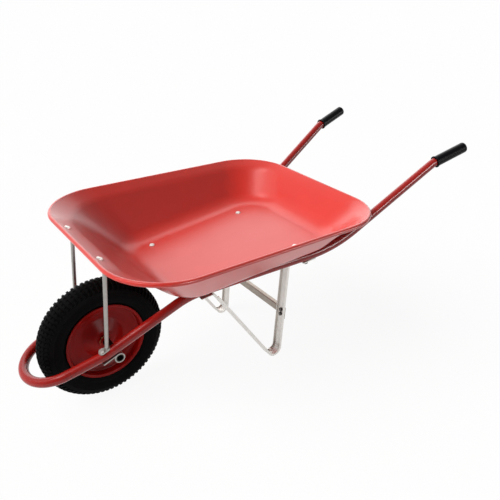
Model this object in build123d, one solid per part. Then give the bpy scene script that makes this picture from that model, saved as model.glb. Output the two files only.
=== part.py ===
from build123d import *
import math
import os

# Single-wheel builder's wheelbarrow with a pressed tray on a bent tube frame.
# Millimetres and degrees. X points forward, Y to the left, Z up.
# "Behind" is a distance from the axle towards the grips, "up" a height above the ground.
# A pitch is positive where a piece climbs towards the grips.

# Wheel
TYRE_OD = 344.0
TYRE_CROWN = 6.0
TYRE_BEAD_GAP = 0.4
BEAD_SEAT_R = 101.6
BEAD_TOE = 16.5
BEAD_HEEL = 24.5
BEAD_HEEL_RISE = 2.5
BEAD_LIP = 7.4
INNER_TUBE_GAP = 1.0
INNER_TUBE_WALL = 2.0
RIM_SHEET = 2.0
RIM_HALF_WIDTH = 30.0
RIM_LIP = 6.0
RIM_LIP_FLARE = 1.0
RIM_SEAT_FALL = 3.0
RIM_SHOULDER_R = 90.0
RIM_SHOULDER_OUT = 9.0
RIM_JOIN_OUTER_R = 76.0
RIM_JOIN_INNER_R = 58.0
RIM_DOME_R = 26.0
RIM_DOME_OUT = 20.0
RIM_BEND_RADII = (15.0, 20.0, 15.0, 20.0, 5.0, 4.0)
HUB_R = 15.0
HUB_WALL = 2.5
HUB_HALF_LENGTH = 26.0
BUSH_LENGTH = 22.0
BUSH_FLANGE_R = 17.0
BUSH_FLANGE = 3.0
RUNNING_GAP = 0.05
END_FLOAT = 0.3
VALVE_R = 4.2
VALVE_LENGTH = 42.0
VALVE_PITCH = 36.0
VALVE_FOOT_R = 98.0
VALVE_FOOT_OUT = 3.0
VALVE_CAP_R = 5.0
VALVE_CAP_LENGTH = 12.0
VALVE_CAP_WALL = 2.0

# Axle and its brackets
AXLE_R = 10.7
AXLE_WALL = 2.5
WASHER_R = 17.0
WASHER_SHEET = 2.0
PIN_R = 2.0
PIN_STAND_OFF = 4.0
BRACKET_SHEET = 2.8
BRACKET_WIDTH = 24.0
BRACKET_BOLT_AHEAD = 27.0
BRACKET_TAIL = 15.0

# Frame tube
TUBE_R = 12.7
TUBE_WALL = 1.5
SPLAY = 8.31
FRONT_PITCH = 15.1
RISE_PITCH = 25.9
FLOOR_PITCH = 4.49
HANDLE_PITCH = 30.6
GRIP_PITCH = 15.6
RISE_RUN = 228.5
FLOOR_RUN = 437.5
HANDLE_RUN = 333.0
GRIP_RUN = 111.0
FRONT_BEND_R = 150.0
TRAY_BEND_R = 200.0
REAR_BEND_R = 350.0
GRIP_BEND_R = 60.0
HOOP_R = 90.4
HOOP_STRAIGHT = 12.0
SPIGOT_LENGTH = 38.0
SPIGOT_GAP = 0.15
SPIGOT_SHOULDER = 4.0
SEAM_GROOVE = 1.8
SEAM_DEPTH = 0.8
GRIP_R = 15.5
GRIP_LENGTH = 114.0
GRIP_END = 4.0
GRIP_EDGE_R = 5.0
GRIP_LIP_R = 17.5
GRIP_LIP = 5.0
GRIP_GAP = 0.05

# Tray
TRAY_SHEET = 1.2
FLOOR_BOLT_Y = 143.0
FLOOR_BOLT_SETBACK = 40.0
FLOOR_BOLT_SPACING = 305.0
FLOOR_FRONT_BEHIND = 150.0
FLOOR_REAR_BEHIND = 662.0
FLOOR_FRONT_HALF = 189.0
FLOOR_REAR_HALF = 217.0
FLOOR_FRONT_CORNER_R = 85.0
FLOOR_REAR_CORNER_R = 120.0
FLOOR_EDGE_R = 70.0
BRIM_FRONT_BEHIND = -31.0
BRIM_REAR_BEHIND = 734.0
BRIM_FRONT_HALF = 322.0
BRIM_REAR_HALF = 311.0
BRIM_FRONT_CORNER_R = 160.0
BRIM_REAR_CORNER_R = 145.0
BRIM_FRONT_UP = 458.4
BRIM_PITCH = -1.1
FLARE_REACH = 0.75
FLARE_RISE = 0.82
FLARE_R = 80.0
CURL_R = 6.0
CURL_INSET = 3.0
CURL_DROP = 4.0
CURL_GAP_FROM = 135.0
CURL_GAP_TO = 190.0

# Stays
STAY_R = 5.2
STAY_LUG = 3.0
STAY_LUG_WIDTH = 19.0
STAY_SETBACK = 13.5
WALL_BOLT_INSET = 16.0

# Legs, brace and rear strap
LEG_SHEET = 2.0
LEG_WIDTH = 32.0
LEG_DEPTH = 7.0
LEG_TAB_BEND_R = 6.0
LEG_TAB_END = 14.0
LEG_FLANGE_SETBACK = 16.0
LIMB_LEAN = 5.3
BRACE_LEAN = 33.6
FOOT_R = 24.0
FOOT_BEHIND = 460.3
BRACE_UP = 143.0
BRACE_TAB_ABOVE = 13.0
BRACE_TAB_BELOW = 25.0
BRACE_DROP = 8.0
BRACE_HEIGHT = 20.0
BRACE_FLANGE = 14.0
BRACE_BEND_R = 3.0
BRACE_SHEET = 2.0
BRACE_BOLT_SPACING = 14.0
STRAP_SHEET = 3.0
STRAP_WIDTH = 44.0
STRAP_AHEAD = 12.0
STRAP_TUBE_GAP = 1.0
STRAP_END = 8.5

# Fasteners
BOLT_R = 4.0
HOLE_GAP = 0.3
DOME_R = 8.2
DOME = 4.0
DOME_EDGE_R = 3.6
NUT_FLATS = 13.0
NUT = 6.5
BOLT_TAIL = 2.0
HEX_HEAD = 5.0
SMALL_BOLT_R = 3.0
SMALL_FLATS = 10.0
SMALL_NUT = 5.0
SMALL_HEAD = 4.0
SCREW_LENGTH = 10.0


def tangent(degrees):
    return math.tan(math.radians(degrees))


def sine(degrees):
    return math.sin(math.radians(degrees))


def cosine(degrees):
    return math.cos(math.radians(degrees))


def mix(first, second, share):
    return first + (second - first) * share


def world(behind, left, up):
    return Vector(-behind, left, up)


def rearward(pitch):
    return Vector(-cosine(pitch), 0, sine(pitch))


def upward(pitch):
    return Vector(sine(pitch), 0, cosine(pitch))


def climb(start, run, pitch):
    return (start[0] + run, start[1] + run * tangent(pitch))


def rod(radius, bottom, top):
    return Pos(0, 0, bottom) * Cylinder(radius, top - bottom, align=(Align.CENTER, Align.CENTER, Align.MIN))


def ring(outer, inner, bottom, top):
    return rod(outer, bottom, top) - rod(inner, bottom, top)


def hexagon(flats, bottom, top):
    sketch = RegularPolygon(flats / 2, 6, major_radius=False)
    return Pos(0, 0, bottom) * extrude(sketch, top - bottom)


def nut(flats, bolt_r, bottom, height):
    return hexagon(flats, bottom, bottom + height) - rod(bolt_r, bottom, bottom + height)


def dome_bolt(seat, end):
    head = rod(DOME_R, seat, seat + DOME)
    head = fillet(head.edges().group_by(Axis.Z)[-1], DOME_EDGE_R)
    return head + rod(BOLT_R, end, seat)


def hex_bolt(flats, head, bolt_r, seat, end):
    return hexagon(flats, seat, seat + head) + rod(bolt_r, end, seat)


def across(sketch, width, left):
    """Extrudes a side-view sketch (x forward, y up) evenly about the given left position."""
    return Pos(0, left, 0) * extrude(Plane.XZ * sketch, width / 2, both=True)


def mirrored(shape):
    return mirror(shape, about=Plane.XZ)


def both_sides(shape):
    return [shape, mirrored(shape)]


def swept(path, sketch, x_dir=None):
    start = Plane(origin=path @ 0, x_dir=x_dir, z_dir=path % 0)
    return sweep(start * sketch, path=path)


def tube(path, radius, wall):
    return swept(path, Circle(radius)) - swept(path, Circle(radius - wall))


# Side view of the frame, as (behind, up) pairs.
axle_up = TYRE_OD / 2
eye_r = AXLE_R + BRACKET_SHEET
bracket_pitch = (FRONT_PITCH + RISE_PITCH) / 2
front_bend_sag = FRONT_BEND_R * (1 / cosine((RISE_PITCH - FRONT_PITCH) / 2) - 1)
front_bend_rise = eye_r + TUBE_R - front_bend_sag
front_bend = (
    -front_bend_rise * sine(bracket_pitch) - BRACKET_BOLT_AHEAD * cosine(bracket_pitch),
    axle_up + front_bend_rise * cosine(bracket_pitch) - BRACKET_BOLT_AHEAD * sine(bracket_pitch),
)
tray_bend = climb(front_bend, RISE_RUN, RISE_PITCH)
rear_bend = climb(tray_bend, FLOOR_RUN, FLOOR_PITCH)
grip_bend = climb(rear_bend, HANDLE_RUN, HANDLE_PITCH)
tube_end = climb(grip_bend, GRIP_RUN, GRIP_PITCH)
front_bolt = climb(tray_bend, FLOOR_BOLT_SETBACK, FLOOR_PITCH)
rear_bolt = climb(front_bolt, FLOOR_BOLT_SPACING, FLOOR_PITCH)


def tube_left(behind):
    return FLOOR_BOLT_Y + (behind - front_bolt[0]) * tangent(SPLAY)


def on_tube(point):
    return world(point[0], tube_left(point[0]), point[1])


# The hoop lies in the plane of the two front runs and is tangent to both of them.
hoop_splay = math.degrees(math.atan(tangent(SPLAY) * cosine(FRONT_PITCH)))
hoop_bend_left = HOOP_R * cosine(hoop_splay)
seam_behind = front_bolt[0] + (hoop_bend_left - FLOOR_BOLT_Y) / tangent(SPLAY) + HOOP_STRAIGHT
seam = climb(front_bend, seam_behind - front_bend[0], FRONT_PITCH)

hoop_plane = Plane(
    origin=world(seam[0], 0, seam[1]),
    x_dir=-rearward(FRONT_PITCH),
    z_dir=upward(FRONT_PITCH),
)
hoop_bend_ahead = HOOP_STRAIGHT / cosine(FRONT_PITCH)
hoop_front = hoop_bend_ahead - HOOP_R * sine(hoop_splay) + HOOP_R
left_run = Line((0, tube_left(seam[0])), (hoop_bend_ahead, hoop_bend_left))
bow = ThreePointArc(
    (hoop_bend_ahead, hoop_bend_left),
    (hoop_front, 0),
    (hoop_bend_ahead, -hoop_bend_left),
)
right_run = Line((hoop_bend_ahead, -hoop_bend_left), (0, -tube_left(seam[0])))
hoop_path = hoop_plane * Wire([left_run.edge(), bow.edge(), right_run.edge()])

spigot_r = TUBE_R - TUBE_WALL - SPIGOT_GAP
spigot_bore = spigot_r - TUBE_WALL
spigot = ring(spigot_r, spigot_bore, 0, SPIGOT_LENGTH) + ring(TUBE_R, spigot_bore, -SPIGOT_SHOULDER, 0)
seam_frame = Plane(origin=hoop_path @ 0, z_dir=-(hoop_path % 0))
left_spigot = seam_frame * spigot
seam_groove = seam_frame * ring(TUBE_R + SEAM_DEPTH, TUBE_R - SEAM_DEPTH, -SEAM_GROOVE, 0)
front_hoop = tube(hoop_path, TUBE_R, TUBE_WALL) + left_spigot + mirrored(left_spigot)
front_hoop = front_hoop - seam_groove - mirrored(seam_groove)

# Fastener frames. Each has its origin on the bolt axis and Z along the bolt, towards the head.
bracket_left = tube_left(front_bend[0])
bracket_frame = Plane(
    origin=world(0, bracket_left, axle_up)
    + upward(bracket_pitch) * eye_r
    - rearward(bracket_pitch) * BRACKET_BOLT_AHEAD,
    x_dir=rearward(bracket_pitch),
    z_dir=upward(bracket_pitch),
)
front_bolt_frame = Plane(
    origin=world(front_bolt[0], FLOOR_BOLT_Y, front_bolt[1]),
    x_dir=rearward(FLOOR_PITCH),
    z_dir=upward(FLOOR_PITCH),
)
rear_bolt_frame = Plane(
    origin=world(rear_bolt[0], FLOOR_BOLT_Y, rear_bolt[1]),
    x_dir=rearward(FLOOR_PITCH),
    z_dir=upward(FLOOR_PITCH),
)
screw_frame = Plane(
    origin=on_tube(rear_bolt),
    x_dir=rearward(FLOOR_PITCH),
    z_dir=upward(FLOOR_PITCH),
)
bolt_hole = rod(BOLT_R + HOLE_GAP, -TYRE_OD / 4, TYRE_OD / 4)

# Side tubes, left one first.
side_path = FilletPolyline(
    on_tube(seam),
    on_tube(front_bend),
    on_tube(tray_bend),
    on_tube(rear_bend),
    on_tube(grip_bend),
    on_tube(tube_end),
    radius=[FRONT_BEND_R, TRAY_BEND_R, REAR_BEND_R, GRIP_BEND_R],
)
tube_space = swept(side_path, Circle(TUBE_R))
screw_hole = rod(BOLT_R, -TUBE_R - TUBE_WALL, 0)
left_side_tube = tube(side_path, TUBE_R, TUBE_WALL)
left_side_tube = left_side_tube - bracket_frame * bolt_hole - front_bolt_frame * bolt_hole
left_side_tube = left_side_tube - screw_frame * screw_hole

# Grips.
grip = rod(GRIP_R, GRIP_END - GRIP_LENGTH, GRIP_END)
grip = fillet(grip.edges().group_by(Axis.Z)[-1], GRIP_EDGE_R)
grip_lip = rod(GRIP_LIP_R, GRIP_END - GRIP_LENGTH, GRIP_END - GRIP_LENGTH + GRIP_LIP)
grip_lip = fillet(grip_lip.edges().filter_by(GeomType.CIRCLE), GRIP_LIP_R - GRIP_R)
grip = grip + grip_lip - rod(TUBE_R + GRIP_GAP, -GRIP_LENGTH, 0)
left_grip = Plane(origin=side_path @ 1, z_dir=side_path % 1) * grip

# Tray. The pan's outside is lofted, rounded, and hollowed by the same pan raised by the sheet.
floor_up = front_bolt[1] + TUBE_R / cosine(FLOOR_PITCH)
floor_front_up = floor_up + (FLOOR_FRONT_BEHIND - front_bolt[0]) * tangent(FLOOR_PITCH)
pan_front_behind = BRIM_FRONT_BEHIND + CURL_INSET
pan_front_up = BRIM_FRONT_UP + CURL_DROP


def outline(length, front_half, rear_half, front_corner, rear_corner):
    corners = [(0, front_half), (-length, rear_half), (-length, -rear_half), (0, -front_half)]
    face = make_face(Polyline(*corners, close=True))
    face = fillet(face.vertices().group_by(Axis.X)[-1], front_corner)
    return fillet(face.vertices().group_by(Axis.X)[0], rear_corner)


def level_plane(front_behind, front_up, pitch):
    return Plane(origin=world(front_behind, 0, front_up), x_dir=-rearward(pitch), z_dir=upward(pitch))


def pan_section(reach, rise):
    front = mix(FLOOR_FRONT_BEHIND, pan_front_behind, reach)
    rear = mix(FLOOR_REAR_BEHIND, BRIM_REAR_BEHIND - CURL_INSET, reach)
    pitch = mix(FLOOR_PITCH, BRIM_PITCH, rise)
    face = outline(
        (rear - front) / cosine(pitch),
        mix(FLOOR_FRONT_HALF, BRIM_FRONT_HALF - CURL_INSET, reach),
        mix(FLOOR_REAR_HALF, BRIM_REAR_HALF - CURL_INSET, reach),
        mix(FLOOR_FRONT_CORNER_R, BRIM_FRONT_CORNER_R - CURL_INSET, reach),
        mix(FLOOR_REAR_CORNER_R, BRIM_REAR_CORNER_R - CURL_INSET, reach),
    )
    return level_plane(front, mix(floor_front_up, pan_front_up, rise), pitch) * face


flare_section = pan_section(FLARE_REACH, FLARE_RISE)
pan = loft([pan_section(0, 0), flare_section, pan_section(1, 1)], ruled=True)
pan = fillet(pan.faces().sort_by(Axis.Z)[0].edges(), FLOOR_EDGE_R)
flare_centres = [edge.center() for edge in flare_section.edges()]


def on_flare(edge):
    return any((edge.center() - centre).length < TRAY_SHEET for centre in flare_centres)


flare_edges = [edge for edge in pan.edges() if on_flare(edge)]
pan = fillet(flare_edges, FLARE_R)

curl_outline = outline(
    (BRIM_REAR_BEHIND - BRIM_FRONT_BEHIND) / cosine(BRIM_PITCH),
    BRIM_FRONT_HALF,
    BRIM_REAR_HALF,
    BRIM_FRONT_CORNER_R,
    BRIM_REAR_CORNER_R,
)
curl_plane = level_plane(BRIM_FRONT_BEHIND, BRIM_FRONT_UP, BRIM_PITCH)
curl_path = (curl_plane * curl_outline).face().outer_wire()
curl_gap = make_face(
    Polyline(
        (0, 0),
        (2 * CURL_R * cosine(CURL_GAP_FROM), -2 * CURL_R * sine(CURL_GAP_FROM)),
        (-2 * CURL_R, 0),
        (2 * CURL_R * cosine(CURL_GAP_TO), -2 * CURL_R * sine(CURL_GAP_TO)),
        close=True,
    )
)
curl_sketch = Circle(CURL_R) - Circle(CURL_R - TRAY_SHEET) - curl_gap
curl = swept(curl_path, curl_sketch, x_dir=(curl_path % 0).cross(curl_plane.z_dir))

wall_start = (
    mix(FLOOR_FRONT_BEHIND, pan_front_behind, FLARE_REACH),
    mix(floor_front_up, pan_front_up, FLARE_RISE),
)
wall_pitch = math.degrees(math.atan2(wall_start[1] - pan_front_up, wall_start[0] - pan_front_behind))
wall_bolt = climb((pan_front_behind, pan_front_up), WALL_BOLT_INSET * cosine(wall_pitch), wall_pitch)
wall_bolt_frame = Plane(
    origin=world(wall_bolt[0], bracket_left, wall_bolt[1]),
    x_dir=rearward(wall_pitch),
    z_dir=upward(wall_pitch),
)
wall_sheet = TRAY_SHEET * cosine(wall_pitch)

tray = pan - Pos(0, 0, TRAY_SHEET) * pan + curl
for frame in (front_bolt_frame, rear_bolt_frame, wall_bolt_frame):
    for hole in both_sides(frame * bolt_hole):
        tray = tray - hole

# Stays: a rod between a lug drawn down onto the tube and a lug under the tray's front wall.
lug_sketch = Rectangle(STAY_SETBACK, STAY_LUG_WIDTH, align=(Align.MIN, Align.CENTER))
lug_sketch = lug_sketch + Circle(STAY_LUG_WIDTH / 2) + Pos(STAY_SETBACK, 0) * Circle(STAY_LUG_WIDTH / 2)
lug = extrude(lug_sketch, STAY_LUG) - rod(BOLT_R + HOLE_GAP, 0, STAY_LUG)
foot_seat = 2 * TUBE_R
foot_lug = bracket_frame * Pos(0, 0, foot_seat) * lug
head_lug = wall_bolt_frame * Pos(0, 0, -STAY_LUG) * lug
stay_foot = (bracket_frame * Pos(STAY_SETBACK, 0, foot_seat + STAY_LUG / 2)).position
stay_head = (wall_bolt_frame * Pos(STAY_SETBACK, 0, -STAY_LUG / 2)).position
stay_line = stay_head - stay_foot
stay_rod = Plane(origin=stay_foot, z_dir=stay_line) * rod(STAY_R, 0, stay_line.length)
left_stay = foot_lug + head_lug + stay_rod - tube_space - pan

# Axle brackets, left one first.
strap_length = BRACKET_BOLT_AHEAD + BRACKET_TAIL
strap_sketch = Pos(strap_length / 2, eye_r - BRACKET_SHEET / 2) * Rectangle(strap_length, BRACKET_SHEET)
eye_sketch = Circle(eye_r) + Rot(0, 0, -bracket_pitch) * strap_sketch - Circle(AXLE_R)
left_axle_bracket = across(Pos(0, axle_up) * eye_sketch, BRACKET_WIDTH, bracket_left)
left_axle_bracket = left_axle_bracket - bracket_frame * bolt_hole

# Legs, left one first. The leg path runs along the outer face of the channel.
apex_angle = LIMB_LEAN + BRACE_LEAN
apex_drop = FOOT_R / sine(apex_angle / 2)
bisector = (BRACE_LEAN - LIMB_LEAN) / 2
apex = (FOOT_BEHIND + apex_drop * sine(bisector), FOOT_R - apex_drop * cosine(bisector))


def leg_joint(lean, tab_drop):
    """Where a limb, leaning rearward from the apex, meets a tab that far below the tube's axis."""
    tab_up = front_bolt[1] - tab_drop / cosine(FLOOR_PITCH)
    height = tab_up - apex[1] + (apex[0] - front_bolt[0]) * tangent(FLOOR_PITCH)
    height = height / (1 - tangent(lean) * tangent(FLOOR_PITCH))
    return (apex[0] + height * tangent(lean), apex[1] + height)


def towards(start, end, distance):
    share = distance / math.dist(start, end)
    return (mix(start[0], end[0], share), mix(start[1], end[1], share))


def on_leg(point):
    return world(point[0], FLOOR_BOLT_Y, point[1])


front_joint = leg_joint(-BRACE_LEAN, TUBE_R + LEG_SHEET)
rear_joint = leg_joint(LIMB_LEAN, STRAP_SHEET + LEG_SHEET - TUBE_R)
front_tab_end = climb(front_joint, front_bolt[0] - LEG_TAB_END - front_joint[0], FLOOR_PITCH)
rear_tab_end = climb(rear_joint, rear_bolt[0] + LEG_TAB_END - rear_joint[0], FLOOR_PITCH)
front_flange_end = towards(front_joint, apex, LEG_FLANGE_SETBACK)
rear_flange_end = towards(rear_joint, apex, LEG_FLANGE_SETBACK)


def leg_path(points, radius):
    return FilletPolyline(*[on_leg(point) for point in points], radius=radius)


channel_path = leg_path([front_flange_end, apex, rear_flange_end], FOOT_R)
front_tab_path = leg_path([front_flange_end, front_joint, front_tab_end], LEG_TAB_BEND_R)
rear_tab_path = leg_path([rear_flange_end, rear_joint, rear_tab_end], LEG_TAB_BEND_R)
below = (Align.CENTER, Align.MAX)
above = (Align.CENTER, Align.MIN)
channel_hollow = Rectangle(LEG_WIDTH - 2 * LEG_SHEET, LEG_DEPTH - LEG_SHEET, align=below)
channel_sketch = Rectangle(LEG_WIDTH, LEG_DEPTH, align=below) - Pos(0, -LEG_SHEET) * channel_hollow
left_leg = swept(channel_path, channel_sketch, x_dir=(0, 1, 0))
left_leg = left_leg + swept(front_tab_path, Rectangle(LEG_WIDTH, LEG_SHEET, align=above), x_dir=(0, 1, 0))
left_leg = left_leg + swept(rear_tab_path, Rectangle(LEG_WIDTH, LEG_SHEET, align=below), x_dir=(0, 1, 0))

# Leg brace: an angle between tabs on the rear faces of the rear limbs, in a frame with X left and Y down.
brace_point = (apex[0] + (BRACE_UP - apex[1]) * tangent(LIMB_LEAN), BRACE_UP)
limb_back = Vector(-cosine(LIMB_LEAN), 0, -sine(LIMB_LEAN))
brace_frame = Plane(origin=world(brace_point[0], 0, brace_point[1]), x_dir=(0, 1, 0), z_dir=limb_back)
brace_frame_left = Plane(origin=on_leg(brace_point), x_dir=(0, 1, 0), z_dir=limb_back)
brace_length = 2 * FLOOR_BOLT_Y - LEG_WIDTH
front_face = (Align.CENTER, Align.MIN, Align.MIN)
brace_plate = Box(brace_length, BRACE_HEIGHT, BRACE_SHEET, align=front_face)
brace_flange = Box(brace_length, BRACE_SHEET, BRACE_FLANGE, align=front_face)
brace_tab = Box(LEG_WIDTH, BRACE_TAB_ABOVE + BRACE_TAB_BELOW, BRACE_SHEET, align=front_face)
brace_angle = brace_plate + brace_flange
brace_bend = brace_angle.edges().filter_by(Axis.X).group_by(Axis.Y)[0].sort_by(Axis.Z)[0]
leg_brace = Pos(0, BRACE_DROP, 0) * fillet(brace_bend, BRACE_BEND_R)
for tab_left in (-FLOOR_BOLT_Y, FLOOR_BOLT_Y):
    leg_brace = leg_brace + Pos(tab_left, 0, 0) * brace_tab
leg_brace = brace_frame * Pos(0, -BRACE_TAB_ABOVE, 0) * leg_brace

small_hole = rod(SMALL_BOLT_R + HOLE_GAP, -LEG_DEPTH, LEG_DEPTH)
for drop in (0, BRACE_BOLT_SPACING):
    for hole in both_sides(brace_frame_left * Pos(0, drop, 0) * small_hole):
        leg_brace = leg_brace - hole
        left_leg = left_leg - hole
left_leg = left_leg - front_bolt_frame * bolt_hole - rear_bolt_frame * bolt_hole - tube_space

# Rear strap: flat under the floor, down the inner side of each tube and out underneath it.
strap_front_behind = rear_bolt[0] - STRAP_AHEAD
strap_side = tube_left(strap_front_behind) - TUBE_R / cosine(SPLAY) - STRAP_TUBE_GAP
strap_end = tube_left(rear_bolt[0]) + STRAP_END
strap_rear = climb(rear_bolt, STRAP_WIDTH - STRAP_AHEAD, FLOOR_PITCH)
strap_frame = Plane(
    origin=world(strap_rear[0], 0, strap_rear[1]),
    x_dir=(0, 1, 0),
    z_dir=-rearward(FLOOR_PITCH),
)
strap_half = Polyline(
    (0, TUBE_R),
    (strap_side, TUBE_R),
    (strap_side, -TUBE_R),
    (strap_end, -TUBE_R),
    (strap_end, -TUBE_R - STRAP_SHEET),
    (strap_side - STRAP_SHEET, -TUBE_R - STRAP_SHEET),
    (strap_side - STRAP_SHEET, TUBE_R - STRAP_SHEET),
    (0, TUBE_R - STRAP_SHEET),
    close=True,
)
strap_face = make_face(strap_half)
strap_face = strap_face + mirror(strap_face, about=Plane.YZ)
tray_strap = strap_frame * extrude(strap_face, STRAP_WIDTH / cosine(FLOOR_PITCH))
strap_screw_hole = rod(BOLT_R + HOLE_GAP, -TUBE_R - STRAP_SHEET, -TUBE_R)
for hole in both_sides(rear_bolt_frame * bolt_hole) + both_sides(screw_frame * strap_screw_hole):
    tray_strap = tray_strap - hole

# Fasteners, each on its own frame.
floor_top = TUBE_R + TRAY_SHEET * cosine(FLOOR_PITCH)
front_nut_seat = -TUBE_R - LEG_SHEET - NUT
rear_nut_seat = TUBE_R - STRAP_SHEET - LEG_SHEET - NUT
front_floor_bolt = front_bolt_frame * dome_bolt(floor_top, front_nut_seat - BOLT_TAIL)
rear_floor_bolt = rear_bolt_frame * dome_bolt(floor_top, rear_nut_seat - BOLT_TAIL)
front_floor_nut = front_bolt_frame * nut(NUT_FLATS, BOLT_R, front_nut_seat, NUT)
rear_floor_nut = rear_bolt_frame * nut(NUT_FLATS, BOLT_R, rear_nut_seat, NUT)
wall_nut_seat = -STAY_LUG - NUT
wall_bolt_left = wall_bolt_frame * dome_bolt(wall_sheet, wall_nut_seat - BOLT_TAIL)
wall_nut = wall_bolt_frame * nut(NUT_FLATS, BOLT_R, wall_nut_seat, NUT)
bracket_nut_seat = -BRACKET_SHEET - NUT
bracket_bolt = bracket_frame * hex_bolt(
    NUT_FLATS, HEX_HEAD, BOLT_R, foot_seat + STAY_LUG, bracket_nut_seat - BOLT_TAIL
)
bracket_nut = bracket_frame * nut(NUT_FLATS, BOLT_R, bracket_nut_seat, NUT)
screw_seat = -TUBE_R - STRAP_SHEET
strap_screw = hexagon(NUT_FLATS, screw_seat - HEX_HEAD, screw_seat) + rod(
    BOLT_R, screw_seat, screw_seat + SCREW_LENGTH
)
strap_screw = screw_frame * strap_screw
brace_bolt_list = []
brace_nut_list = []
for drop in (0, BRACE_BOLT_SPACING):
    bolt_place = brace_frame_left * Pos(0, drop, 0)
    turned = Rot(180, 0, 0) * hex_bolt(
        SMALL_FLATS, SMALL_HEAD, SMALL_BOLT_R, LEG_SHEET, -BRACE_SHEET - SMALL_NUT - BOLT_TAIL
    )
    brace_bolt_list += both_sides(bolt_place * turned)
    brace_nut_list += both_sides(bolt_place * nut(SMALL_FLATS, SMALL_BOLT_R, BRACE_SHEET, SMALL_NUT))

# Wheel and axle, turned about Y. Profiles are drawn as (radius, left).
wheel_place = Pos(0, 0, axle_up)
across_wheel = Rot(-90, 0, 0)


def turned_about_axle(face):
    return wheel_place * revolve(face, axis=Axis.Y)


def on_axle(shape):
    """Moves a shape drawn along Z so that its Z runs to the left along the axle."""
    return wheel_place * across_wheel * shape


seat_mid_r = BEAD_SEAT_R - RIM_SHEET / 2
rim_path = FilletPolyline(
    (HUB_R, RIM_DOME_OUT),
    (RIM_DOME_R, RIM_DOME_OUT),
    (RIM_JOIN_INNER_R, RIM_SHEET / 2),
    (RIM_JOIN_OUTER_R, RIM_SHEET / 2),
    (RIM_SHOULDER_R, RIM_SHOULDER_OUT),
    (seat_mid_r, RIM_SHOULDER_OUT + RIM_SEAT_FALL),
    (seat_mid_r, RIM_HALF_WIDTH),
    (seat_mid_r + RIM_LIP + RIM_SHEET / 2, RIM_HALF_WIDTH + RIM_LIP_FLARE),
    radius=RIM_BEND_RADII,
)
left_rim = turned_about_axle(trace(rim_path, RIM_SHEET))

tyre_r = TYRE_OD / 2
bead_r = BEAD_SEAT_R + TYRE_BEAD_GAP
lip_r = bead_r + BEAD_LIP
lip_half = RIM_HALF_WIDTH - RIM_LIP_FLARE
heel_half = lip_half - RIM_LIP_FLARE
cavity_r = bead_r + BEAD_HEEL_RISE
cavity_half = BEAD_TOE + BEAD_HEEL_RISE
outer_arc = ThreePointArc((lip_r, lip_half), (tyre_r, 0), (lip_r, -lip_half))
inner_arc = ThreePointArc((cavity_r, -cavity_half), (tyre_r - TYRE_CROWN, 0), (cavity_r, cavity_half))
right_bead = Polyline(
    (lip_r, -lip_half),
    (bead_r + BEAD_HEEL_RISE, -heel_half),
    (bead_r, -BEAD_HEEL),
    (bead_r, -BEAD_TOE),
    (cavity_r, -cavity_half),
)
left_bead = Polyline(
    (cavity_r, cavity_half),
    (bead_r, BEAD_TOE),
    (bead_r, BEAD_HEEL),
    (bead_r + BEAD_HEEL_RISE, heel_half),
    (lip_r, lip_half),
)
tyre = turned_about_axle(make_face(outer_arc + right_bead + inner_arc + left_bead))

cavity_arc_r = inner_arc.edge().radius
cavity_centre_r = tyre_r - TYRE_CROWN - cavity_arc_r
inner_tube_r = cavity_arc_r - INNER_TUBE_GAP
inner_tube_sketch = Circle(inner_tube_r) - Circle(inner_tube_r - INNER_TUBE_WALL)
inner_tube = turned_about_axle(Pos(cavity_centre_r, 0) * inner_tube_sketch)

bush_bore = AXLE_R + RUNNING_GAP
hub_bore = HUB_R - HUB_WALL
hub = on_axle(ring(HUB_R, hub_bore, -HUB_HALF_LENGTH, HUB_HALF_LENGTH))
bush_end = HUB_HALF_LENGTH + BUSH_FLANGE
bush = ring(hub_bore, bush_bore, HUB_HALF_LENGTH - BUSH_LENGTH, HUB_HALF_LENGTH)
bush = bush + ring(BUSH_FLANGE_R, bush_bore, HUB_HALF_LENGTH, bush_end)
left_bush = on_axle(bush)

# The valve leaves the tube through the right half of the rim, pointing inward and out.
valve_frame = Plane(
    origin=(VALVE_FOOT_R, -VALVE_FOOT_OUT, axle_up),
    z_dir=(-cosine(VALVE_PITCH), -sine(VALVE_PITCH), 0),
)
valve_stem = valve_frame * rod(VALVE_R, 0, VALVE_LENGTH)
cap_seat = VALVE_LENGTH - VALVE_CAP_LENGTH + VALVE_CAP_WALL
valve_cap = rod(VALVE_CAP_R, cap_seat, cap_seat + VALVE_CAP_LENGTH) - rod(VALVE_R, cap_seat, VALVE_LENGTH)
valve_cap = valve_frame * valve_cap
right_rim = mirrored(left_rim) - valve_frame * rod(VALVE_R, 0, VALVE_LENGTH)

axle_half = bracket_left + BRACKET_WIDTH / 2
washer_seat = bush_end + END_FLOAT
pin_out = washer_seat + WASHER_SHEET + PIN_R
pin = rod(PIN_R, -AXLE_R - PIN_STAND_OFF, AXLE_R + PIN_STAND_OFF)
left_pin = wheel_place * Pos(0, pin_out, 0) * pin
axle = on_axle(ring(AXLE_R, AXLE_R - AXLE_WALL, -axle_half, axle_half))
for hole in both_sides(left_pin):
    axle = axle - hole
left_washer = on_axle(ring(WASHER_R, AXLE_R, washer_seat, washer_seat + WASHER_SHEET))

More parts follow.
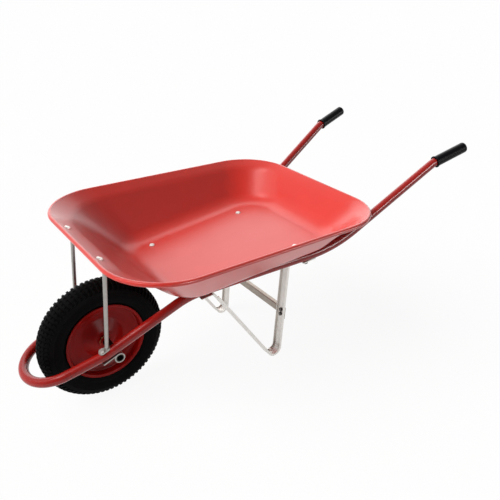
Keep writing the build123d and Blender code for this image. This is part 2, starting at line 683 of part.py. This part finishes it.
nodes = {
    "front_hoop": [front_hoop],
    "left_side_tube": [left_side_tube],
    "right_side_tube": [mirrored(left_side_tube)],
    "left_grip": [left_grip],
    "right_grip": [mirrored(left_grip)],
    "tray": [tray],
    "left_stay": [left_stay],
    "right_stay": [mirrored(left_stay)],
    "left_leg": [left_leg],
    "right_leg": [mirrored(left_leg)],
    "leg_brace": [leg_brace],
    "tray_strap": [tray_strap],
    "left_axle_bracket": [left_axle_bracket],
    "right_axle_bracket": [mirrored(left_axle_bracket)],
    "axle": [axle],
    "axle_washers": both_sides(left_washer),
    "axle_pins": both_sides(left_pin),
    "front_floor_bolts": both_sides(front_floor_bolt),
    "rear_floor_bolts": both_sides(rear_floor_bolt),
    "floor_nuts": both_sides(front_floor_nut) + both_sides(rear_floor_nut),
    "wall_bolts": both_sides(wall_bolt_left),
    "wall_nuts": both_sides(wall_nut),
    "bracket_bolts": both_sides(bracket_bolt),
    "bracket_nuts": both_sides(bracket_nut),
    "strap_screws": both_sides(strap_screw),
    "brace_bolts": brace_bolt_list,
    "brace_nuts": brace_nut_list,
    "tyre": [tyre],
    "inner_tube": [inner_tube],
    "left_rim": [left_rim],
    "right_rim": [right_rim],
    "hub": [hub],
    "left_bush": [left_bush],
    "right_bush": [mirrored(left_bush)],
    "valve_stem": [valve_stem],
    "valve_cap": [valve_cap],
}

# The origin is on the ground, midway between the front of the hoop and the ends of the grips.
front_x = front_hoop.bounding_box().max.X
rear_x = left_grip.bounding_box().min.X
centred = Pos(-(front_x + rear_x) / 2, 0, 0)

os.makedirs("parts", exist_ok=True)
for name, shapes in nodes.items():
    solids = [solid for shape in shapes for solid in (centred * shape).solids()]
    shape = solids[0] if len(solids) == 1 else Compound(solids)
    export_step(shape, f"parts/{name}.step")
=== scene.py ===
import logging
import math
from dataclasses import dataclass, field
from enum import Enum
from typing import Any

import bmesh
import bpy
from bmesh.types import BMEdge, BMesh, BMVert
from bpy.types import Material, Node, NodeSocket, NodeTree
from mathutils import Matrix, Vector


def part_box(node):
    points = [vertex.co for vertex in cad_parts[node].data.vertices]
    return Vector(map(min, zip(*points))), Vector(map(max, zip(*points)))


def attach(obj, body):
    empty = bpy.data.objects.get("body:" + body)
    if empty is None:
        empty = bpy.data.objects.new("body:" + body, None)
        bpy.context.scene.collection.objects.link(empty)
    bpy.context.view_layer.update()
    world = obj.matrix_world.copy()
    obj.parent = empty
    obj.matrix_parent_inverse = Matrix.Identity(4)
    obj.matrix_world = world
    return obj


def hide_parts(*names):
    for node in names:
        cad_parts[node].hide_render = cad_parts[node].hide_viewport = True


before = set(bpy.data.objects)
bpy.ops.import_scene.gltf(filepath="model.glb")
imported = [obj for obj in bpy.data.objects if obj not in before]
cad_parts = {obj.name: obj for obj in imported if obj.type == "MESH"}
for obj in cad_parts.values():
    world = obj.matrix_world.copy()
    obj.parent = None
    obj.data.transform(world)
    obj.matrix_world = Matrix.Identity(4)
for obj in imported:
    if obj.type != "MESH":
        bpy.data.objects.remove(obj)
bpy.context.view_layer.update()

LOG = logging.getLogger("wheelbarrow")
MM = 0.001
FULL_TURN = 2 * math.pi
SHARP_ANGLE = math.radians(35)
MERGE_DISTANCE = 0.001 * MM
ACROSS = (0, 1, 0)
CLOUD_DETAIL = 4.0
RELIEF_DETAIL = 2.0
# The Mix node's sockets by number, because its numbers and its colours share their names.
MIX_FACTOR, MIX_NUMBER_A, MIX_NUMBER_B, MIX_COLOUR_A, MIX_COLOUR_B = 0, 2, 3, 6, 7
MIX_NUMBER_RESULT, MIX_COLOUR_RESULT = 0, 2


class Body(Enum):
    """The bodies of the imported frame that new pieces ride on."""

    WHEEL = "wheel"


class Slot(Enum):
    """The record's material slots."""

    TYRE = "tyre_rubber"


class Light(Enum):
    """What a studio lamp gives: the light on a surface, or the shine on its gloss."""

    MATT = "matt"
    GLOSS = "gloss"


def linear(colour: str) -> tuple[float, float, float, float]:
    """Turns an sRGB hex colour into linear RGBA.

    Args:
        colour: Six hex digits after a hash sign.

    Returns:
        Red, green, blue and an alpha of one.
    """
    channels = [int(colour[start:start + 2], 16) / 255 for start in (1, 3, 5)]
    # The numbers below are those of the sRGB standard's curve.
    red, green, blue = [c / 12.92 if c <= 0.04045 else ((c + 0.055) / 1.055) ** 2.4 for c in channels]
    return red, green, blue, 1.0


def per_metre(size_mm: float) -> float:
    """Gives the texture scale whose features are about this many millimetres apart."""
    return 1 / (size_mm * MM)


def add_node(
    tree: NodeTree,
    kind: str,
    settings: dict[int | str, Any] | None = None,
    links: dict[int | str, NodeSocket] | None = None,
) -> Node:
    """Adds a node, sets it up and links it.

    Args:
        tree: The node tree that gets the node.
        kind: The node's class name.
        settings: Values by property name, or by the name or number of an input.
        links: Output sockets of other nodes, by the name or number of an input.

    Returns:
        The new node.
    """
    node = tree.nodes.new(kind)
    for key, value in (settings or {}).items():
        if isinstance(key, str) and hasattr(node, key):
            setattr(node, key, value)
        else:
            node.inputs[key].default_value = value
    for key, socket in (links or {}).items():
        tree.links.new(socket, node.inputs[key])
    return node


@dataclass(frozen=True)
class Finish:
    """A surface finish, with the sizes of its patterns in millimetres.

    Attributes:
        name: The material's name.
        colour: Its main colour.
        shade: The colour that clouds it.
        roughness: Its mean roughness.
        roughness_swing: How far the clouds take the roughness up and down.
        metallic: How far it is a metal.
        specular: The strength of its gloss.
        coat: The weight of the clear skin over it.
        coat_roughness: The roughness of that skin.
        cloud_mm: Size of the clouds.
        grain_mm: Size of the grain.
        grain_depth_mm: Depth of the grain.
        wave_mm: Size of the slow waves.
        wave_depth_mm: Depth of the slow waves.
    """

    name: str
    colour: str
    shade: str
    roughness: float
    roughness_swing: float = 0.05
    metallic: float = 0.0
    specular: float = 0.5
    coat: float = 0.0
    coat_roughness: float = 0.1
    cloud_mm: float = 60.0
    grain_mm: float = 2.0
    grain_depth_mm: float = 0.01
    wave_mm: float = 80.0
    wave_depth_mm: float = 0.02

    def material(self) -> Material:
        """Makes the finish's material at the first call.

        Returns:
            The material.
        """
        known = bpy.data.materials.get(self.name)
        if known:
            return known
        material = bpy.data.materials.new(self.name)
        material.use_nodes = True
        tree = material.node_tree
        shader = tree.nodes["Principled BSDF"]
        shader.inputs["Metallic"].default_value = self.metallic
        shader.inputs["Specular IOR Level"].default_value = self.specular
        shader.inputs["Coat Weight"].default_value = self.coat
        shader.inputs["Coat Roughness"].default_value = self.coat_roughness
        place = add_node(tree, "ShaderNodeTexCoord").outputs["Object"]
        self.add_colour(tree, shader, place)
        self.add_relief(tree, shader, place)
        return material

    def add_colour(self, tree: NodeTree, shader: Node, place: NodeSocket) -> None:
        """Clouds the colour and the roughness.

        Args:
            tree: The material's node tree.
            shader: Its shader.
            place: The coordinates that the clouds follow.
        """
        noise = {"Scale": per_metre(self.cloud_mm), "Detail": CLOUD_DETAIL}
        cloud = add_node(tree, "ShaderNodeTexNoise", noise, {"Vector": place}).outputs["Fac"]
        tones = {
            "data_type": "RGBA",
            MIX_COLOUR_A: linear(self.colour),
            MIX_COLOUR_B: linear(self.shade),
        }
        tone = add_node(tree, "ShaderNodeMix", tones, {MIX_FACTOR: cloud})
        gloss = {
            "To Min": self.roughness - self.roughness_swing,
            "To Max": self.roughness + self.roughness_swing,
        }
        rough = add_node(tree, "ShaderNodeMapRange", gloss, {"Value": cloud})
        tree.links.new(tone.outputs[MIX_COLOUR_RESULT], shader.inputs["Base Color"])
        tree.links.new(rough.outputs["Result"], shader.inputs["Roughness"])

    def add_relief(self, tree: NodeTree, shader: Node, place: NodeSocket) -> None:
        """Gives the surface its slow waves and, on top of them, its grain.

        Args:
            tree: The material's node tree.
            shader: Its shader.
            place: The coordinates that the relief follows.
        """
        reliefs = ((self.wave_mm, self.wave_depth_mm), (self.grain_mm, self.grain_depth_mm))
        under: dict[int | str, NodeSocket] = {}
        for size_mm, depth_mm in reliefs:
            noise = {"Scale": per_metre(size_mm), "Detail": RELIEF_DETAIL}
            height = add_node(tree, "ShaderNodeTexNoise", noise, {"Vector": place}).outputs["Fac"]
            depth = {"Distance": depth_mm * MM}
            bump = add_node(tree, "ShaderNodeBump", depth, {"Height": height, **under})
            under = {"Normal": bump.outputs["Normal"]}
        tree.links.new(under["Normal"], shader.inputs["Normal"])


# Stove enamel on pressed sheet: a semi-gloss coat with slow waves and a fine orange peel.
TRAY_ENAMEL = Finish(
    "stove_enamel_tray", "#D02C1F", "#C6281C", 0.3, coat=0.35, coat_roughness=0.28,
    grain_mm=3.0, wave_mm=110.0, wave_depth_mm=0.15,
)
# The same enamel on drawn tube, glossier because the tube is smoother than the sheet; its red, darker than
# the tray's, is painted shade.
TUBE_ENAMEL_PAINTED_SHADE = Finish(
    "stove_enamel_tube_painted_shade", "#9C1710", "#90140E", 0.2, 0.02, specular=0.4, coat=0.08,
    grain_mm=3.0, grain_depth_mm=0.003, wave_depth_mm=0.01,
)
# The same enamel on the pressed halves of the wheel, the hub and the washers, with little gloss; its deep
# red, darker than the tray's, is painted shade.
RIM_ENAMEL_PAINTED_SHADE = Finish(
    "stove_enamel_rim_painted_shade", "#9E0F0A", "#8E0D08", 0.34, specular=0.1,
    grain_mm=3.0, wave_mm=40.0, wave_depth_mm=0.05,
)
# Bright zinc plate on mild steel: pale, slightly warm metal with a faint cloudiness, on legs and bolts.
ZINC = Finish(
    "bright_zinc_plate", "#E8E5E0", "#D8D5CF", 0.4, 0.08, metallic=0.8, cloud_mm=14.0, grain_mm=1.5
)
# Zinc plate with painted shade: a darker and warmer grey that stands in for the shade and dark reflections
# under the tray, on the brace between the legs.
ZINC_PAINTED_SHADE = Finish(
    "zinc_plate_painted_shade", "#A89F95", "#978E84", 0.4, 0.08, metallic=0.9, cloud_mm=14.0, grain_mm=1.5
)
# Zinc plate on drawn rod and bent strap: darker than on the legs, on the stays and the axle brackets.
ZINC_ROD = Finish(
    "zinc_plated_rod", "#B4B1AC", "#A4A19C", 0.42, 0.06, metallic=0.75, cloud_mm=10.0, grain_mm=1.5
)
# Blackened steel: near black and dull, on the axle and its pins.
BLACK_STEEL = Finish("blackened_steel", "#453F3C", "#35302E", 0.45, 0.08, metallic=1.0, cloud_mm=8.0)
# Oiled steel: dull dark metal, on the nuts, the bolts of the brace and the screws of the strap.
DARK_STEEL = Finish("oiled_steel", "#63605D", "#4C4947", 0.38, 0.08, metallic=1.0, cloud_mm=10.0)
# Moulded tyre rubber: near black and dull, with a fine skin.
TYRE_RUBBER = Finish(
    "moulded_tyre_rubber", "#131313", "#0B0B0B", 0.5, specular=0.02,
    cloud_mm=25.0, grain_mm=1.2, grain_depth_mm=0.05,
)
# Butyl rubber: smooth and slightly shiny, inside the tyre.
TUBE_RUBBER = Finish("butyl_rubber", "#1A1A1C", "#121214", 0.5, specular=0.3)
# Dip-moulded PVC: black with a slight sheen.
GRIP_PVC = Finish(
    "dipped_pvc", "#08070B", "#050407", 0.3, specular=0.1,
    cloud_mm=20.0, grain_mm=1.5, grain_depth_mm=0.03,
)
# Natural nylon: tan and waxy.
BUSH_NYLON = Finish("natural_nylon", "#B99A6B", "#A48656", 0.45)
# Turned brass: the valve's yellow metal.
VALVE_BRASS = Finish("turned_brass", "#C9A55A", "#B18E48", 0.28, metallic=1.0)
# Moulded polyethylene: the valve's black cap.
CAP_PLASTIC = Finish("moulded_polyethylene", "#141416", "#0E0E10", 0.45)


def dress(finish: Finish, *nodes: str) -> None:
    """Gives CAD nodes their finish.

    Args:
        finish: The finish.
        nodes: The nodes' names.
    """
    for name in nodes:
        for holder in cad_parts[name].material_slots:
            holder.material = finish.material()
        LOG.info("%s in %s", name, finish.name)


def new_piece(
    name: str, mesh: BMesh, finish: Finish, body: Body, stands_for: tuple[str, ...]
) -> None:
    """Turns a finished bmesh into a piece of the object.

    Args:
        name: The piece's name.
        mesh: Its shape, which is freed.
        finish: Its finish.
        body: The body that it rides.
        stands_for: The CAD nodes that it replaces.
    """
    data = bpy.data.meshes.new(name)
    mesh.to_mesh(data)
    mesh.free()
    data.shade_smooth()
    data.set_sharp_from_angle(angle=SHARP_ANGLE)
    data.materials.append(finish.material())
    piece = bpy.data.objects.new(name, data)
    bpy.context.scene.collection.objects.link(piece)
    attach(piece, body.value)
    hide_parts(*stands_for)
    LOG.info("%s in %s, %d faces", name, finish.name, len(data.polygons))


def chain(mesh: BMesh, points: list[Vector]) -> list[BMVert | BMEdge]:
    """Adds points joined by edges, one after the other.

    Args:
        mesh: The bmesh that gets them.
        points: Where they are.

    Returns:
        The new vertices and edges.
    """
    verts = [mesh.verts.new(point) for point in points]
    return verts + [mesh.edges.new(pair) for pair in zip(verts, verts[1:])]


def borders(edge: BMEdge, verts: set[BMVert]) -> bool:
    """Tells whether an edge is on the border of the faces that some vertices span.

    Args:
        edge: The edge.
        verts: The vertices.

    Returns:
        True where one of the edge's faces goes beyond them and the edge itself doesn't.
    """
    return set(edge.verts) <= verts and not all(set(face.verts) <= verts for face in edge.link_faces)


def join(mesh: BMesh, other: BMesh) -> None:
    """Adds another bmesh's shape to a bmesh.

    Args:
        mesh: The bmesh that grows.
        other: What is added, which is freed.
    """
    data = bpy.data.meshes.new("joined")
    other.to_mesh(data)
    other.free()
    mesh.from_mesh(data)
    bpy.data.meshes.remove(data)


@dataclass(frozen=True)
class LugRow:
    """A ring of tread lugs.

    Attributes:
        start: Degrees from the crown, about the middle of the tyre's section, where a lug starts.
        end: Degrees from the crown where it ends.
        length: The share of the pitch that it takes up round the tyre.
        sides: One for a ring on the left of the tyre, and minus one for a ring on the right.
    """

    start: float
    end: float
    length: float
    sides: tuple[int, ...] = (-1, 1)


@dataclass(frozen=True)
class WallRun:
    """A run of points down the sidewall, in degrees from the crown, plain or on a raised rib."""

    angles: tuple[int, ...]
    ribbed: bool = False


@dataclass
class Tyre:
    """The pneumatic tyre: a moulded carcass with rings of small tread lugs.

    Attributes:
        section_r: Radius of the section over the lugs.
        tread_depth: How far the tread's base lies below the tops of the lugs.
        sidewall_drop: How far the sidewall lies inside the section's radius.
        rib: Height of the sidewall's ribs.
        lug_root: How deep a lug is set into the tread's base.
        lug_taper: Length of a lug's top as a share of its foot's.
        lug_edge: Width of the bevel round a lug's top.
        pitches: The number of lugs in a ring.
        steps_per_pitch: Steps of the carcass to a lug.
        tread_angles: Degrees from the crown of the points on the tread's base.
        sidewall: The runs of points below the tread.
        rows: The rings of lugs.
        axle: The middle of the wheel.
        section_up: Height of the section's middle above the axle.
    """

    section_r: float = 38.0 * MM
    tread_depth: float = 3.4 * MM
    sidewall_drop: float = 0.6 * MM
    rib: float = 0.6 * MM
    lug_root: float = 0.6 * MM
    lug_taper: float = 0.78
    lug_edge: float = 0.5 * MM
    pitches: int = 76
    steps_per_pitch: int = 2
    tread_angles: tuple[int, ...] = (0, 6, 12, 18, 24, 30, 36, 42, 48, 54, 60)
    sidewall: tuple[WallRun, ...] = (
        WallRun((62, 70, 76)),
        WallRun((77, 79), ribbed=True),
        WallRun((80, 88, 96, 104, 111)),
        WallRun((112, 118), ribbed=True),
        WallRun((119, 128, 136)),
    )
    rows: tuple[LugRow, ...] = (
        LugRow(-7.0, 7.0, 0.56, sides=(1,)),
        LugRow(10.0, 24.0, 0.56),
        LugRow(27.0, 41.0, 0.56),
        LugRow(44.0, 60.0, 0.5),
    )
    axle: Vector = field(init=False)
    section_up: float = field(init=False)

    def __post_init__(self) -> None:
        """Reads the tyre's place and size from the frame."""
        low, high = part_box("tyre")
        self.axle = (low + high) / 2
        self.section_up = (high.z - low.z) / 2 - self.section_r

    def on_section(self, angle: float, radius: float) -> Vector:
        """Gives a point of the section above the axle.

        Args:
            angle: Degrees from the crown towards the left.
            radius: Distance from the middle of the section.

        Returns:
            The point.
        """
        turn = math.radians(angle)
        across = radius * math.sin(turn)
        return self.axle + Vector((0, across, self.section_up + radius * math.cos(turn)))

    def carcass(self) -> BMesh:
        """Spins the section: the tread's base, the ribbed sidewalls and the beads.

        Returns:
            The carcass.
        """
        base = self.section_r - self.tread_depth
        side = self.section_r - self.sidewall_drop
        half = [(angle, base) for angle in self.tread_angles]
        for run in self.sidewall:
            radius = side + self.rib if run.ribbed else side
            half += [(angle, radius) for angle in run.angles]
        points = [self.on_section(-angle, radius) for angle, radius in reversed(half[1:])]
        points += [self.on_section(angle, radius) for angle, radius in half]
        mesh = bmesh.new()
        bmesh.ops.spin(
            mesh, geom=chain(mesh, points), cent=self.axle, axis=ACROSS,
            angle=FULL_TURN, steps=self.steps_per_pitch * self.pitches, use_merge=True,
        )
        bmesh.ops.remove_doubles(mesh, verts=mesh.verts, dist=MERGE_DISTANCE)
        bmesh.ops.recalc_face_normals(mesh, faces=mesh.faces)
        return mesh

    def lug_ring(self, row: LugRow, side: int) -> BMesh:
        """Raises one lug from the tread's base and repeats it round the tyre.

        Args:
            row: The ring that the lug belongs to.
            side: One for the left of the tyre, minus one for the right.

        Returns:
            The ring of lugs.
        """
        mesh = bmesh.new()
        pitch = FULL_TURN / self.pitches
        length = row.length * pitch
        root = self.section_r - self.tread_depth - self.lug_root
        angles = (row.start, (row.start + row.end) / 2, row.end)
        arc = chain(mesh, [self.on_section(side * angle, root) for angle in angles])
        start = Matrix.Rotation(-length / 2, 3, "Y")
        bmesh.ops.rotate(mesh, cent=self.axle, matrix=start, verts=mesh.verts)
        bmesh.ops.spin(mesh, geom=arc, cent=self.axle, axis=ACROSS, angle=length, steps=1)
        raised = bmesh.ops.extrude_face_region(mesh, geom=mesh.faces[:])["geom"]
        top = [item for item in raised if isinstance(item, BMVert)]
        middle = self.axle + Vector((0, 0, self.section_up))
        growth = self.section_r / root
        bmesh.ops.scale(
            mesh, vec=(self.lug_taper, growth, growth), space=Matrix.Translation(-middle), verts=top
        )
        edges = [edge for edge in mesh.edges if borders(edge, set(top))]
        bmesh.ops.bevel(
            mesh, geom=edges, offset=self.lug_edge, offset_type="OFFSET", segments=1, profile=0.5,
            affect="EDGES", material=-1,
        )
        bmesh.ops.recalc_face_normals(mesh, faces=mesh.faces)
        bmesh.ops.spin(
            mesh, geom=mesh.verts[:] + mesh.edges[:] + mesh.faces[:], cent=self.axle, axis=ACROSS,
            angle=FULL_TURN - pitch, steps=self.pitches - 1, use_duplicate=True,
        )
        return mesh

    def build(self) -> None:
        """Builds the tyre in place of its plain CAD solid."""
        mesh = self.carcass()
        for row in self.rows:
            for side in row.sides:
                join(mesh, self.lug_ring(row, side))
        new_piece("treaded_tyre", mesh, TYRE_RUBBER, Body.WHEEL, ("tyre",))


@dataclass
class Wheel:
    """The wheel: the treaded tyre and the CAD pieces inside it."""

    tyre: Tyre

    def build(self) -> None:
        """Builds the tyre and dresses the rest of the wheel."""
        self.tyre.build()
        dress(RIM_ENAMEL_PAINTED_SHADE, "left_rim", "right_rim", "hub")
        dress(BUSH_NYLON, "left_bush", "right_bush")
        dress(TUBE_RUBBER, "inner_tube")
        dress(VALVE_BRASS, "valve_stem")
        dress(CAP_PLASTIC, "valve_cap")


@dataclass
class Tray:
    """The pressed tray with its rolled rim."""

    def build(self) -> None:
        """Dresses the tray."""
        dress(TRAY_ENAMEL, "tray")


@dataclass
class Chassis:
    """The bent tubes with their grips, and the zinc-plated pieces bolted to them."""

    def build(self) -> None:
        """Dresses the tubes, grips, legs, stays, brackets and fasteners."""
        dress(TUBE_ENAMEL_PAINTED_SHADE, "front_hoop", "left_side_tube", "right_side_tube")
        dress(GRIP_PVC, "left_grip", "right_grip")
        dress(ZINC, "left_leg", "right_leg", "tray_strap")
        dress(ZINC_PAINTED_SHADE, "leg_brace")
        dress(ZINC_ROD, "left_stay", "right_stay", "left_axle_bracket", "right_axle_bracket")
        dress(ZINC, "front_floor_bolts", "rear_floor_bolts", "wall_bolts", "bracket_bolts")
        dress(RIM_ENAMEL_PAINTED_SHADE, "axle_washers")
        dress(BLACK_STEEL, "axle", "axle_pins")
        dress(DARK_STEEL, "floor_nuts", "wall_nuts", "bracket_nuts")
        dress(DARK_STEEL, "brace_bolts", "brace_nuts", "strap_screws")


@dataclass(frozen=True)
class SoftLamp:
    """A wide soft light, far enough away to light everything evenly.

    Attributes:
        name: The lamp's name.
        towards: The direction from the object to the lamp.
        strength: Its strength.
        spread: How wide it looks from the object, in degrees.
        gives: What it gives.
    """

    name: str
    towards: tuple[float, float, float]
    strength: float
    spread: float
    gives: Light

    def place(self) -> None:
        """Hangs the lamp."""
        light = bpy.data.lights.new(self.name, "SUN")
        light.energy = self.strength
        light.angle = math.radians(self.spread)
        lamp = bpy.data.objects.new(self.name, light)
        lamp.visible_diffuse = self.gives is Light.MATT
        lamp.visible_glossy = self.gives is Light.GLOSS
        lamp.rotation_mode = "QUATERNION"
        lamp.rotation_quaternion = Vector(self.towards).to_track_quat("Z", "Y")
        bpy.context.scene.collection.objects.link(lamp)


@dataclass(frozen=True)
class Studio:
    """A plain pale floor under soft light, with a white backdrop on the far side.

    Attributes:
        lamps: The lamps.
        white: The backdrop's colour.
        fill: The share of the backdrop's brightness that lights the object.
        far_side: The backdrop's brightness behind the object, where one is white.
        near_side: Its brightness on the other side, as gloss shows it.
        side_edge: How far from the middle of the world it reaches the one or the other.
        floor_size: Side of the floor in metres.
        floor_colour: The paper's colour.
        floor_roughness: The paper's roughness.
        floor_lift: The share of plain white in the floor, as the camera and gloss see it.
    """

    lamps: tuple[SoftLamp, ...] = (
        SoftLamp("key", (0.68, -0.2, 0.7), 3.8, 45.0, Light.MATT),
        SoftLamp("front_strip_left", (0.47, 0.15, 0.87), 0.13, 12.0, Light.GLOSS),
        SoftLamp("front_strip_middle", (0.46, -0.02, 0.89), 0.13, 12.0, Light.GLOSS),
        SoftLamp("front_strip_right", (0.43, -0.19, 0.88), 0.13, 12.0, Light.GLOSS),
        SoftLamp("backdrop", (-0.45, -0.80, 0.36), 1.5, 75.0, Light.GLOSS),
        SoftLamp("side_strip", (-0.14, 0.92, 0.36), 1.2, 20.0, Light.GLOSS),
        SoftLamp("rear_strip", (-0.68, 0.72, 0.06), 1.0, 22.0, Light.GLOSS),
    )
    white: str = "#FFFFFF"
    fill: float = 0.2
    far_side: float = 1.0
    near_side: float = 0.25
    side_edge: float = 0.6
    floor_size: float = 60.0
    floor_colour: str = "#F2F2F2"
    floor_roughness: float = 0.9
    floor_lift: float = 0.93

    def build(self) -> None:
        """Hangs the lamps, lights the world and lays the floor."""
        for lamp in self.lamps:
            lamp.place()
        self.light_world()
        self.lay_floor()

    def seen(self, tree: NodeTree) -> NodeSocket:
        """Tells rays that show the background from those that light the object.

        Args:
            tree: The node tree that asks.

        Returns:
            One for a ray from the camera or out of metal or glass, and zero for the others.
        """
        rays = add_node(tree, "ShaderNodeLightPath").outputs
        seen = rays["Is Camera Ray"]
        for kind in ("Is Glossy Ray", "Is Transmission Ray"):
            either = {0: seen, 1: rays[kind]}
            seen = add_node(tree, "ShaderNodeMath", {"operation": "MAXIMUM"}, either).outputs[0]
        return seen

    def light_world(self) -> None:
        """Makes a world that looks white on the far side and lights the object softly."""
        world = bpy.data.worlds.new("studio")
        world.use_nodes = True
        tree = world.node_tree
        place = add_node(tree, "ShaderNodeTexCoord").outputs["Generated"]
        across = add_node(tree, "ShaderNodeSeparateXYZ", links={"Vector": place}).outputs["Y"]
        shades = {
            "From Min": -self.side_edge,
            "From Max": self.side_edge,
            "To Min": self.far_side,
            "To Max": self.near_side,
        }
        backdrop = add_node(tree, "ShaderNodeMapRange", shades, {"Value": across}).outputs["Result"]
        direct = add_node(tree, "ShaderNodeLightPath").outputs["Is Camera Ray"]
        brighter = {0: backdrop, 1: direct}
        view = add_node(tree, "ShaderNodeMath", {"operation": "MAXIMUM"}, brighter).outputs[0]
        dimmed = {"operation": "MULTIPLY", 1: self.fill}
        light = add_node(tree, "ShaderNodeMath", dimmed, {0: backdrop}).outputs[0]
        levels = {MIX_FACTOR: self.seen(tree), MIX_NUMBER_A: light, MIX_NUMBER_B: view}
        level = add_node(tree, "ShaderNodeMix", links=levels).outputs[MIX_NUMBER_RESULT]
        background = tree.nodes["Background"]
        background.inputs["Color"].default_value = linear(self.white)
        tree.links.new(level, background.inputs["Strength"])
        bpy.context.scene.world = world

    def lay_floor(self) -> None:
        """Lays the floor at the object's foot."""
        mesh = bmesh.new()
        bmesh.ops.create_grid(mesh, x_segments=1, y_segments=1, size=self.floor_size / 2)
        data = bpy.data.meshes.new("studio_floor")
        mesh.to_mesh(data)
        mesh.free()
        data.materials.append(self.paper())
        floor = bpy.data.objects.new("studio_floor", data)
        bpy.context.scene.collection.objects.link(floor)

    def paper(self) -> Material:
        """Makes the floor's matt paper, which looks near white and keeps a soft shadow.

        Returns:
            The material.
        """
        material = bpy.data.materials.new("matt_paper")
        material.use_nodes = True
        tree = material.node_tree
        shader = tree.nodes["Principled BSDF"]
        shader.inputs["Base Color"].default_value = linear(self.floor_colour)
        shader.inputs["Roughness"].default_value = self.floor_roughness
        shader.inputs["Specular IOR Level"].default_value = 0.0
        white = add_node(tree, "ShaderNodeEmission").outputs[0]
        share = {"operation": "MULTIPLY", 1: self.floor_lift}
        lift = add_node(tree, "ShaderNodeMath", share, {0: self.seen(tree)}).outputs[0]
        mixed = add_node(tree, "ShaderNodeMixShader", links={0: lift, 1: shader.outputs[0], 2: white})
        tree.links.new(mixed.outputs[0], tree.nodes["Material Output"].inputs["Surface"])
        return material


@dataclass(frozen=True)
class PhotographCamera:
    """The camera that took the photograph, as fitted to it."""

    place: tuple[float, float, float] = (0.856, 1.286, 1.102)
    azimuth: float = 144.17
    elevation: float = 27.29
    lens_mm: float = 42.57
    sensor_mm: float = 36.0
    shift: tuple[float, float] = (-0.011, -0.0042)

    def build(self) -> None:
        """Sets the camera up."""
        azimuth, elevation = math.radians(self.azimuth), math.radians(self.elevation)
        level = math.cos(elevation)
        back = Vector((math.sin(azimuth) * level, -math.cos(azimuth) * level, math.sin(elevation)))
        data = bpy.data.cameras.new("photograph")
        data.sensor_width = self.sensor_mm
        data.lens = self.lens_mm
        data.shift_x, data.shift_y = self.shift
        camera = bpy.data.objects.new("photograph", data)
        camera.location = self.place
        camera.rotation_mode = "QUATERNION"
        camera.rotation_quaternion = (-back).to_track_quat("-Z", "Y")
        bpy.context.scene.collection.objects.link(camera)
        bpy.context.scene.camera = camera


def main() -> None:
    """Builds and dresses the wheelbarrow in its studio."""
    logging.basicConfig(level=logging.INFO, format="%(name)s: %(message)s")
    bpy.context.scene.view_settings.view_transform = "Standard"
    for assembly in (Tray(), Chassis(), Wheel(Tyre()), Studio(), PhotographCamera()):
        assembly.build()


if __name__ == "__main__":
    main()
